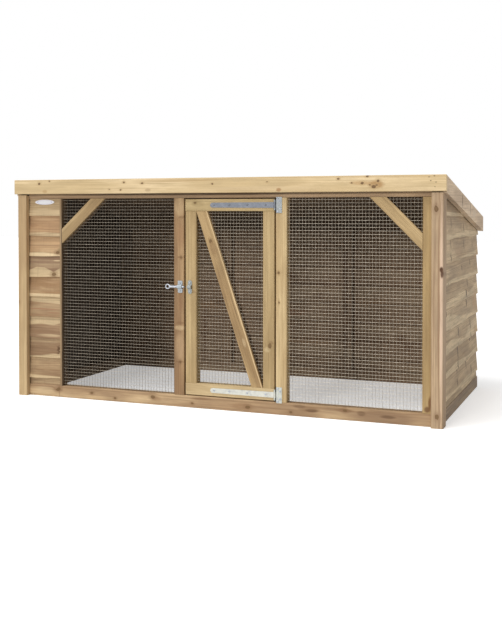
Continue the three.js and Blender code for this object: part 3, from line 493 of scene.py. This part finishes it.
SHELTER_MARKS = {
    1: [(-0.76, 0.115, 0.08, 0.006, tone(172, 142, 104), 0.5)],
    2: [(-0.7135, 0.196, 0.011, 0.020, tone(92, 64, 38), 1.0), (-0.7062, 0.195, 0.003, 0.018, CREAM, 0.7),
        (-0.82, 0.22, 0.05, 0.01, tone(136, 106, 78), 0.5)],
    3: [(-0.80, 0.272, 0.1, 0.010, tone(132, 100, 70), 0.6), (-0.76, 0.256, 0.07, 0.007, CREAM, 0.6)],
    4: [(-0.79, 0.3665, 0.1, 0.003, tone(150, 88, 62), 0.6), (-0.74, 0.352, 0.04, 0.002, tone(150, 88, 62), 0.5)],
    5: [(-0.83, 0.455, 0.04, 0.012, tone(150, 114, 82), 0.5), (-0.74, 0.48, 0.05, 0.006, tone(190, 156, 118), 0.5)],
    6: [(-0.722, 0.5716, 0.024, 0.0035, CREAM, 0.8), (-0.80, 0.565, 0.08, 0.008, tone(138, 108, 86), 0.5)],
    7: [(-0.71, 0.612, 0.012, 0.014, tone(126, 108, 70), 0.6), (-0.80, 0.64, 0.07, 0.004, tone(204, 172, 132), 0.4)],
    8: [(-0.77, 0.744, 0.08, 0.006, tone(204, 170, 130), 0.5), (-0.84, 0.72, 0.03, 0.01, tone(156, 120, 86), 0.5)],
    9: [(-0.79, 0.776, 0.08, 0.010, tone(206, 180, 140), 0.5)],
}
PALEST = (5, 7)                   # the two boards with nearly white sapwood
for course, (heart, pale) in enumerate(SHELTER):
    sap = tone(238, 212, 168) if course in PALEST else tone(212, 187, 146)
    timber(f"shelter_board_{course}", "x", "z", heart, sap, tone(126, 94, 64), seed=40 + course,
           streaks=0.6, bands=0.5, patchy=0.8, sawn=0.6, pale=pale,
           knots=SHELTER_KNOTS.get(course, ()), marks=SHELTER_MARKS.get(course, ()))

# ------------------------------------------------------------------ side, back and inside
# The line on each board of the right wall under which its sapwood shows.
SIDE_PALE = {
    1: [(-0.39, 0.092), (-0.1, 0.088), (0.2, 0.094), (0.44, 0.090)],
    2: [(-0.39, 0.178), (-0.1, 0.190), (0.2, 0.176), (0.44, 0.186)],
    3: [(-0.39, 0.272), (-0.2, 0.290), (0.1, 0.262), (0.26, 0.306), (0.44, 0.312)],
    4: [(-0.39, 0.392), (-0.2, 0.388), (0.0, 0.360), (0.2, 0.352), (0.44, 0.342)],
    5: [(-0.39, 0.437), (-0.1, 0.450), (0.07, 0.460), (0.2, 0.440), (0.44, 0.468)],
    6: [(-0.39, 0.508), (-0.2, 0.520), (0.2, 0.518), (0.44, 0.524)],
    7: [(-0.39, 0.592), (0.0, 0.596), (0.2, 0.604), (0.44, 0.612)],
    8: [(-0.39, 0.700), (-0.2, 0.688), (0.1, 0.702), (0.44, 0.690)],
    9: [(-0.39, 0.778), (0.0, 0.770), (0.44, 0.766)],
}
# UNLIT is painted shade for the walls' inner faces.
CRACK, UNLIT = tone(70, 50, 34), tone(44, 32, 22)
SIDE_MARKS = [                    # its cracks and stains
    (-0.207, 0.735, 0.012, 0.024, CRACK, 0.60), (0.073, 0.712, 0.012, 0.022, CRACK, 0.70),
    (-0.214, 0.655, 0.012, 0.022, CRACK, 0.50), (-0.226, 0.605, 0.012, 0.022, CRACK, 0.70),
    (0.084, 0.645, 0.012, 0.026, CRACK, 0.60), (0.30, 0.64, 0.012, 0.018, CRACK, 0.40),
    (0.034, 0.552, 0.012, 0.014, CRACK, 0.85), (0.24, 0.563, 0.012, 0.016, CRACK, 0.75),
    (-0.29, 0.500, 0.01, 0.02, CRACK, 0.60), (0.180, 0.482, 0.012, 0.022, CRACK, 0.85),
    (0.135, 0.440, 0.015, 0.022, CRACK, 1.00), (0.158, 0.402, 0.012, 0.026, CRACK, 0.95),
    (-0.30, 0.395, 0.012, 0.012, CRACK, 0.80), (-0.21, 0.385, 0.020, 0.008, BROWN, 0.5),
    (0.255, 0.300, 0.012, 0.024, CRACK, 1.00), (0.255, 0.245, 0.012, 0.026, CRACK, 0.85),
    (-0.035, 0.300, 0.012, 0.024, CRACK, 0.95), (-0.050, 0.225, 0.012, 0.040, CRACK, 0.95),
    (-0.062, 0.165, 0.012, 0.034, CRACK, 0.85), (0.155, 0.150, 0.012, 0.034, CRACK, 0.75),
    (0.275, 0.105, 0.012, 0.026, CRACK, 0.85), (-0.25, 0.245, 0.05, 0.006, BROWN, 0.5),
    (0.10, 0.20, 0.05, 0.006, BROWN, 0.4), (-0.065, 0.105, 0.012, 0.02, CRACK, 0.75),
    (0.40, 0.59, 0.03, 0.02, tone(178, 138, 100), 0.5), (0.36, 0.40, 0.06, 0.05, tone(186, 150, 112), 0.5),
    (0.38, 0.26, 0.05, 0.03, tone(180, 144, 106), 0.5), (-0.05, 0.62, 0.1, 0.03, tone(172, 142, 112), 0.4),
]
SIDE_LIGHTER = (-4, 2, -8, 2, 8, -2, 0, 6, 0, -22)    # each board against the wall's usual tone; the top board's -22 is painted shade under the roof
for course, lighter in enumerate(SIDE_LIGHTER):
    name = f"right_board_{course}"
    low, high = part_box(name)
    near = [mark for mark in SIDE_MARKS if low.z - mark[3] < mark[1] < high.z]
    pale = (-1, SIDE_PALE[course]) if course in SIDE_PALE else None
    # The boards' inner faces take UNLIT as painted shade.
    timber(name, "y", "z", tone(178 + lighter, 154 + lighter, 122 + lighter), tone(214, 192, 156),
           tone(122, 98, 72), seed=60 + course, streaks=0.8, bands=0.5, patchy=1.3, sawn=1.0,
           pale=pale, marks=near, shade=("x", -1, UNLIT, 0.4), knot=GREY_KNOT)

# Seen through the mesh: painted batten shadows, knots, stains and lap lines, which are painted shadows under the
# laps, on the inside of the back.
BACK_KNOTS = [(0.02, 0.47, 0.012), (0.16, 0.38, 0.010), (0.30, 0.27, 0.014), (0.33, 0.22, 0.010), (0.55, 0.20, 0.012),
              (0.58, 0.16, 0.012), (0.44, 0.60, 0.010), (-0.35, 0.34, 0.012), (-0.52, 0.20, 0.010)]
BACK_MARKS = [(0.292, 0.38, 0.016, 0.40, tone(30, 20, 12), 1.0), (-0.43, 0.20, 0.012, 0.17, DARK, 0.8),
              (0.22, 0.62, 0.3, 0.008, DARK, 0.4), (0.10, 0.443, 0.45, 0.006, DARK, 0.5),
              (0.40, 0.36, 0.12, 0.02, tone(170, 136, 98), 0.6), (0.02, 0.30, 0.1, 0.02, tone(160, 112, 84), 0.6),
              (0.12, 0.17, 0.16, 0.025, tone(168, 130, 88), 0.6), (-0.40, 0.32, 0.10, 0.02, tone(160, 124, 84), 0.5)]
FIRST_LAP, LAP_PITCH, LAPS = 0.0931, 0.0854, 8
# Painted shadows under the laps.
LAP_LINES = [(0.0, FIRST_LAP + LAP_PITCH * lap, 1.6, 0.0042, tone(34, 24, 16), 0.8) for lap in range(LAPS)]
SIDE = dict(heart=tone(158, 138, 114), sap=tone(186, 168, 140), late=tone(112, 92, 72))
# The left wall's inner face is darkened by painted shade.
timber("left_wall_boards", "y", "z", **SIDE, seed=80, streaks=0.8, patchy=1.0, sawn=1.0, stray=0.3,
       shade=("x", 1, UNLIT, 0.88), knot=GREY_KNOT)
# The back's inner face takes a brown painted shade, and its marks stay on that face.
timber("back_wall", "x", "z", **SIDE, seed=81, streaks=0.8, patchy=1.0, sawn=1.0, stray=0.3,
       shade=("y", -1, tone(104, 69, 35), 0.56), knots=BACK_KNOTS, marks=BACK_MARKS + LAP_LINES,
       marks_inside=True, knot=GREY_KNOT)
# INSIDE is a darker copy of the timber for the posts, rail and deck inside the run: painted shade.
INSIDE = dict(heart=tone(88, 68, 48), sap=tone(112, 90, 64), late=tone(54, 40, 28))
for side, seed in (("left", 82), ("right", 83)):
    timber(f"{side}_bottom_rail", "y", "z", tone(130, 110, 88), tone(152, 132, 106), tone(92, 72, 54),
           seed=seed, streaks=0.8, sawn=0.8, patchy=1.0)
    timber(f"back_post_{side}", "z", "x", **INSIDE, seed=seed + 4, streaks=0.5)
timber("back_top_rail", "x", "z", **INSIDE, seed=88)
timber("roof_deck", "x", "y", **INSIDE, seed=89, streaks=0.6, sawn=1.0, stray=0.2)

dress("roof_felt", mineral_felt("slate_felt"))
HINGE_FOLD = 0.2585               # where the plates turn into their knuckles
ZINC = {
    # The upper strap and plate are darker copies of the zinc: painted shade under the fascia.
    "upper_hinge_strap": dict(bright=tone(124, 127, 134), dim=tone(104, 107, 114), dull=0.08),
    "lower_hinge_strap": dict(bright=tone(205, 205, 196), dim=tone(190, 190, 181)),
    "upper_hinge_plate": dict(bright=tone(150, 154, 152), dim=tone(128, 131, 130), fold=HINGE_FOLD),
    "lower_hinge_plate": dict(bright=tone(200, 203, 194), dim=tone(176, 178, 170), fold=HINGE_FOLD),
    "bolt_bracket": dict(bright=tone(176, 184, 186), dim=tone(150, 156, 160)),
    "bolt_keep": dict(bright=tone(160, 164, 158), dim=tone(134, 138, 136)),
    "slide_bolt": dict(),
}
for number, (name, look) in enumerate(ZINC.items()):
    dress(name, zinc(f"{name}_zinc", number * 7, **look))


# ------------------------------------------------------------------ modelling helpers
def start_piece():
    """Deselects everything, so that what follows touches only the new piece."""
    bpy.ops.object.select_all(action="DESELECT")


def settle(obj, name, material, body):
    """Names a finished piece, bakes its place into its mesh, and hands it to its body."""
    start_piece()
    obj.select_set(True)
    bpy.context.view_layer.objects.active = obj
    bpy.ops.object.transform_apply(location=True, rotation=True, scale=True)
    obj.name = obj.data.name = name
    obj.data.materials.clear()
    obj.data.materials.append(material)
    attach(obj, body)
    return obj


def pick_faces(obj, wanted):
    """Opens a piece for editing with only the wanted faces selected."""
    bpy.ops.object.mode_set(mode="EDIT")
    bpy.ops.mesh.select_mode(type="FACE")
    bpy.ops.mesh.select_all(action="DESELECT")
    bpy.ops.object.mode_set(mode="OBJECT")
    for face in obj.data.polygons:
        face.select = wanted(face)
    bpy.ops.object.mode_set(mode="EDIT")


def gather(objects):
    """Joins objects into the first of them."""
    start_piece()
    for o in objects:
        o.select_set(True)
    bpy.context.view_layer.objects.active = objects[0]
    bpy.ops.object.join()
    return objects[0]


# ------------------------------------------------------------------ weld mesh
MESH_PITCH = 0.013
WIRE_RADIUS = 0.00056
CROSSED = 0.95                    # share of a radius from the mesh's middle to each layer, so the layers touch
PANELS = (("wire_panel_left", "run", 0.38), ("wire_panel_right", "run", 0.0), ("door_wire_panel", "door", 0.12))


def wires(low, high, upright, y):
    """One layer of straight wires between two corners, a pitch apart, made as one wire and its copies."""
    (x0, _, z0), (x1, _, z1) = low, high
    length = (z1 - z0) if upright else (x1 - x0)
    span = (x1 - x0) if upright else (z1 - z0)
    count = int(span / MESH_PITCH) + 1
    margin = (span - (count - 1) * MESH_PITCH) / 2
    start_piece()
    bpy.ops.mesh.primitive_cylinder_add(vertices=6, radius=WIRE_RADIUS, depth=length, end_fill_type="TRIFAN")
    wire = bpy.context.object
    if upright:
        wire.location = (x0 + margin, y, (z0 + z1) / 2)
    else:
        wire.rotation_euler = (0.0, math.pi / 2, 0.0)
        wire.location = ((x0 + x1) / 2, y, z0 + margin)
    bpy.ops.object.transform_apply(location=True, rotation=True, scale=True)
    array = wire.modifiers.new("pitch", "ARRAY")
    array.use_relative_offset = False
    array.use_constant_offset = True
    array.constant_offset_displace = (MESH_PITCH, 0, 0) if upright else (0, 0, MESH_PITCH)
    array.count = count
    bpy.ops.object.modifier_apply(modifier=array.name)
    return wire


for panel, body, darkening in PANELS:
    low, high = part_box(panel)
    middle = (low.y + high.y) / 2
    mesh = gather([
        wires(low, high, True, middle + WIRE_RADIUS * CROSSED),
        wires(low, high, False, middle - WIRE_RADIUS * CROSSED),
    ])
    name = "weld_mesh_" + panel.replace("_wire_panel", "").replace("wire_panel_", "")
    settle(mesh, name, galvanised(f"{name}_wire", middle, darkening), body)
    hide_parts(panel)


# ------------------------------------------------------------------ screws
SCREW = zinc("screw_zinc", 3, dull=0.1)
# SHADED_SCREW is a darker copy of the screws' zinc: painted shade for the upper strap's screws.
SHADED_SCREW = zinc("shaded_screw_zinc", 5, dull=0.1, bright=tone(150, 152, 158), dim=tone(124, 126, 132))
PIN_INSET = 0.0042                # from the end of a knuckle to its pin
HINGE_SHEET, STRIP_SHEET = 0.0025, 0.002    # metal of the hinges, and of the bracket and keep
LEAF = 0.024                      # width of the flat leaf of a hinge plate
BRIDGE = 0.0071                   # half the height of the bolt's bridge, over its sheet
STRAP_HOLES = (0.14, 0.42, 0.70, 0.94)      # shares of the way from the pin to the strap's tip
PLATE_HOLES = ((0.3, 0.82), (0.7, 0.5))     # shares of the leaf's width, and of half the plate's height


def screw(name, x, y, z, body, radius=0.0037, proud=0.0022, look=SCREW):
    """A pan-head screw with a round recess, its head standing towards the viewer (-Y)."""
    start_piece()
    bpy.ops.mesh.primitive_cylinder_add(vertices=20, radius=radius, depth=proud,
                                        location=(x, y - proud / 2, z), rotation=(math.pi / 2, 0, 0))
    head = bpy.context.object
    rim, recess = radius * 0.28, radius * 0.42
    bpy.ops.object.transform_apply(location=True, rotation=True, scale=True)
    pick_faces(head, lambda face: face.normal.y < -0.9)
    bpy.ops.mesh.inset(thickness=rim, depth=0)
    bpy.ops.transform.translate(value=(0, -proud * 0.25, 0))
    bpy.ops.mesh.inset(thickness=recess, depth=0)
    bpy.ops.transform.translate(value=(0, proud * 0.75, 0))
    bpy.ops.object.mode_set(mode="OBJECT")
    return settle(head, name, look, body)


for which in ("upper", "lower"):
    low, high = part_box(f"{which}_hinge_strap")
    pin_x, face = high.x - PIN_INSET, high.y - HINGE_SHEET
    length = pin_x - low.x
    for n, share in enumerate(STRAP_HOLES):
        screw(f"{which}_strap_screw_{n}", pin_x - share * length, face, (low.z + high.z) / 2, "door",
              look=SHADED_SCREW if which == "upper" else SCREW)
    low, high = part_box(f"{which}_hinge_plate")
    plate_left = high.x - LEAF
    for n, (across, up) in enumerate(PLATE_HOLES):
        for sign in (-1, 1):
            z = (low.z + high.z) / 2 + sign * up * (high.z - low.z) / 2
            screw(f"{which}_plate_screw_{n}{'ab'[sign > 0]}", plate_left + across * LEAF, face, z, "run")
for name, body in (("bolt_bracket", "run"), ("bolt_keep", "door")):
    low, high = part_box(name)
    reach = ((high.z - low.z) / 2 + BRIDGE) / 2
    for sign in (-1, 1):
        screw(f"{name}_screw_{'ab'[sign > 0]}", (low.x + high.x) / 2, high.y - STRIP_SHEET,
              (low.z + high.z) / 2 + sign * reach, body, radius=0.0034)


# ------------------------------------------------------------------ blank oval plate
def oval_plate():
    """A thin oval with a bevelled edge and nothing on it, near the top of the boarded end."""
    x, z, half_x, half_z = -0.7805, 0.8165, 0.047, 0.0105
    thick, bevel, crown = 0.002, 0.0012, 0.0005
    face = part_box("shelter_board_9")[0].y + 0.0035      # the sloping board, at the plate's height
    start_piece()
    bpy.ops.mesh.primitive_cylinder_add(
        vertices=48, radius=1.0, depth=thick, rotation=(math.pi / 2, 0, 0), location=(x, face, z))
    plate = bpy.context.object
    plate.scale = (half_x, half_z, 1.0)
    bpy.ops.object.transform_apply(location=True, rotation=True, scale=True)
    pick_faces(plate, lambda face: face.normal.y < -0.9)
    bpy.ops.mesh.inset(thickness=bevel, depth=0)
    bpy.ops.transform.translate(value=(0, -crown, 0))
    bpy.ops.mesh.inset(thickness=bevel, depth=0)
    bpy.ops.object.mode_set(mode="OBJECT")
    settle(plate, "oval_plate", enamel("white_enamel", (x, z), (half_x, half_z)), "run")


oval_plate()

# ------------------------------------------------------------------ floor, light and camera
def seen_directly(f):
    """1 for the camera's rays and for those that it sees by a mirror or through glass."""
    path = f.node("LightPath")
    return path.also("Is Camera Ray").most(path.also("Is Glossy Ray")).most(path.also("Is Transmission Ray"))


def studio():
    """A white floor and air that light the run softly, with two wide suns and a lamp at its right."""
    start_piece()
    bpy.ops.mesh.primitive_plane_add(size=40.0, location=(0, 0, 0))
    floor = bpy.context.object
    floor.name = "studio_floor"
    f = finish("studio_white")
    seen = seen_directly(f)
    matt = f.node("BsdfDiffuse", None, (0.6, 0.6, 0.6, 1.0))
    pale = f.node("BsdfDiffuse", None, (0.95, 0.95, 0.95, 1.0))
    white = f.node("AddShader", None, pale, f.node("Emission", None, (1.0, 1.0, 1.0, 1.0), 0.41))
    floor.data.materials.append(f.close(f.node("MixShader", None, seen, matt, white)))

    bpy.context.scene.world = bpy.data.worlds.new("studio_air")
    f = Finish(bpy.context.scene.world, "OutputWorld")
    seen = seen_directly(f)
    soft = f.node("Background", None, (1.0, 1.0, 1.0, 1.0), 0.43)
    white = f.node("Background", None, (1.0, 1.0, 1.0, 1.0), 1.0)
    f.close(f.node("MixShader", None, seen, soft, white))

    def lamp(name, kind, place, target, power, **settings):
        """A light that faces its target."""
        data = bpy.data.lights.new(name, kind)
        data.energy = power
        for key, value in settings.items():
            setattr(data, key, value)
        obj = bpy.data.objects.new(name, data)
        bpy.context.collection.objects.link(obj)
        obj.location = place
        obj.rotation_mode = "QUATERNION"
        obj.rotation_quaternion = (Vector(target) - Vector(place)).to_track_quat("-Z", "Y")

    lamp("high_softbox", "SUN", (-0.75, -0.75, 2.45), (0, 0, 0.45), 1.45, angle=0.56)
    lamp("front_softbox", "SUN", (-0.24, -2.0, 0.95), (0, 0, 0.45), 1.16, angle=0.28)
    lamp("side_softbox", "AREA", (4.6, -0.8, 0.8), (0.9, 0, 0.45), 26, size=2.0)


studio()

PHOTO_LONG_SIDE = 642             # pixels, as are the rest
FOCAL_PIXELS = 959.94
PHOTO_MIDDLE = (251, 321)
LENS_AXIS = (259.87, 229.67)      # where the lens points: the photo is a crop


def photo_camera():
    """The photo's camera, fitted to the straight edges of the run."""
    data = bpy.data.cameras.new("photo_camera")
    camera = bpy.data.objects.new("photo_camera", data)
    bpy.context.collection.objects.link(camera)
    yaw, pitch = 0.37008, 0.01922
    camera.location = (1.52475, -3.86249, 0.77863)
    forward = Vector((-math.sin(yaw) * math.cos(pitch), math.cos(yaw) * math.cos(pitch), -math.sin(pitch)))
    camera.rotation_mode = "QUATERNION"
    camera.rotation_quaternion = forward.to_track_quat("-Z", "Y")
    data.sensor_width = 36.0
    data.lens = FOCAL_PIXELS * 36.0 / PHOTO_LONG_SIDE
    data.shift_x = (PHOTO_MIDDLE[0] - LENS_AXIS[0]) / PHOTO_LONG_SIDE
    data.shift_y = (LENS_AXIS[1] - PHOTO_MIDDLE[1]) / PHOTO_LONG_SIDE
    bpy.context.scene.camera = camera


photo_camera()
bpy.context.scene.view_settings.view_transform = "Standard"
